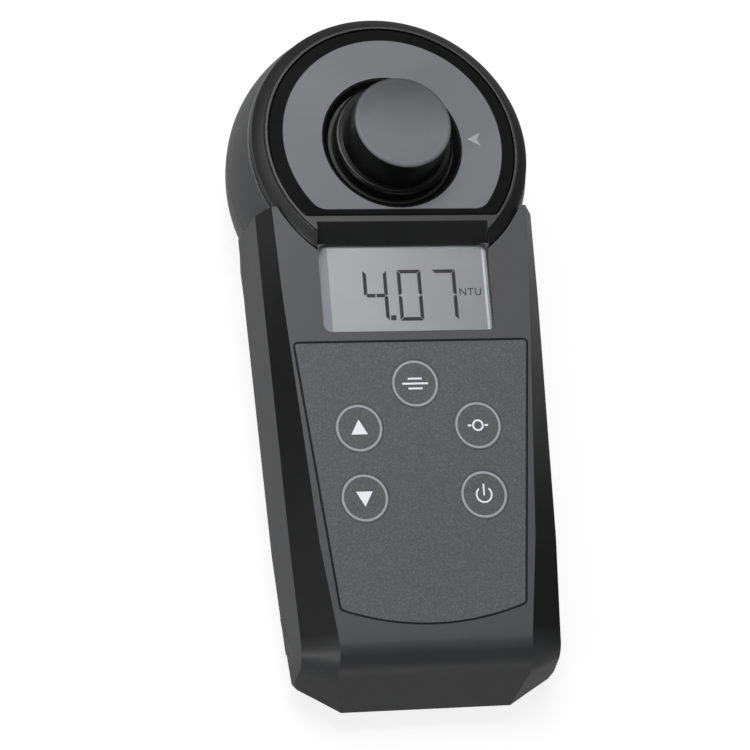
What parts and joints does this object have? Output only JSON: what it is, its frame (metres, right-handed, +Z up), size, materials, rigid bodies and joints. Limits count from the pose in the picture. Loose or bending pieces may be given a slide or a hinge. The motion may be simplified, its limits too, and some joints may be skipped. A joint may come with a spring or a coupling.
{
  "type": "turbidity meter",
  "caption": "Handheld turbidity meter with a drum-shaped head, a sample well under a lift-off light shield, a display and round keys.",
  "frame": {"origin": "middle of the outline, on the surface that the flat back rests on", "axes": "+Z up out of the face, +Y from the keys to the head, +X to the user's right"},
  "size_m": [0.0676, 0.1552, 0.0462],
  "materials": {
    "shell": "fine matte moulding",
    "bezel": "smooth satin moulding",
    "overlay": "glossy, printed on the back",
    "ring": "dull black",
    "shield": "semi-gloss black",
    "glass": "clear",
    "pane": "clear acrylic",
    "display": "reflective grey",
    "keypad": "speckled grey sheet",
    "key": "speckled grey, printed ring",
    "seal": "silicone",
    "strip": "layered silicone",
    "liner": "PTFE-faced foam",
    "board": "solder mask on glass fibre",
    "chip": "moulded packages",
    "lamp": "tinted epoxy",
    "cable": "polyimide film",
    "steel": "stainless",
    "spring": "nickel-plated",
    "brass": "turned",
    "cell": null,
    "block": "dull black"
  },
  "bodies": {
    "housing": {"front_shell": "shell", "rear_shell": "shell", "battery_cover": "shell", "housing_gasket": "seal", "battery_cover_seal": "seal", "head_bezel": "bezel", "head_overlay": "overlay", "well_ring": "ring", "optics_block": "block", "ir_led": "lamp", "scatter_detector": "lamp", "sensor_boards": "board", "sensor_cable": "cable", "lcd_window": "pane", "lcd_module": "display", "lcd_connectors": "strip", "keypad_overlay": "keypad", "main_board": "board", "board_chips": "chip", "board_screws": "steel", "key_domes": "steel", "battery_plates": "spring", "battery_springs": "spring", "cover_screws": "steel", "cover_inserts": "brass", "case_screws": "steel", "battery_1": "cell", "battery_2": "cell", "battery_3": "cell", "battery_4": "cell"},
    "vial": {"sample_vial": "glass"},
    "vial_liner": {"vial_cap_liner": "liner"},
    "vial_cap": {"vial_cap": "shield"},
    "shield": {"light_shield": "shield"},
    "key_read": {"key_read": "key"},
    "key_up": {"key_up": "key"},
    "key_cal": {"key_cal": "key"},
    "key_down": {"key_down": "key"},
    "key_power": {"key_power": "key"}
  },
  "joints": [
    {"name": "vial_lift", "type": "slide", "parent": "housing", "child": "vial", "axis": [0, 0, 1], "range_m": [0, 0.036]},
    {"name": "shield_lift", "type": "slide", "parent": "vial", "child": "shield", "axis": [0, 0, 1], "range_m": [0, 0.013]},
    {"name": "cap_rise", "type": "slide", "parent": "vial", "child": "vial_liner", "axis": [0, 0, 1], "range_m": [0, 0.0024]},
    {"name": "cap_turn", "type": "hinge", "parent": "vial_liner", "child": "vial_cap", "pos_m": [0, 0.0438, 0.036], "axis": [0, 0, 1], "range_deg": [0, 360]},
    {"name": "key_read_press", "type": "slide", "parent": "housing", "child": "key_read", "axis": [0, 0.1452, -0.9894], "range_m": [0, 0.0003], "stiffness_N_per_m": 1500, "springref_m": -0.0002},
    {"name": "key_up_press", "type": "slide", "parent": "housing", "child": "key_up", "axis": [0, 0.1452, -0.9894], "range_m": [0, 0.0003], "stiffness_N_per_m": 1500, "springref_m": -0.0002},
    {"name": "key_cal_press", "type": "slide", "parent": "housing", "child": "key_cal", "axis": [0, 0.1452, -0.9894], "range_m": [0, 0.0003], "stiffness_N_per_m": 1500, "springref_m": -0.0002},
    {"name": "key_down_press", "type": "slide", "parent": "housing", "child": "key_down", "axis": [0, 0.1452, -0.9894], "range_m": [0, 0.0003], "stiffness_N_per_m": 1500, "springref_m": -0.0002},
    {"name": "key_power_press", "type": "slide", "parent": "housing", "child": "key_power", "axis": [0, 0.1452, -0.9894], "range_m": [0, 0.0003], "stiffness_N_per_m": 1500, "springref_m": -0.0002}
  ],
  "couplings": [
    {"joint": "cap_rise", "follows": "cap_turn", "m_per_rad": 0.00038197}
  ]
}
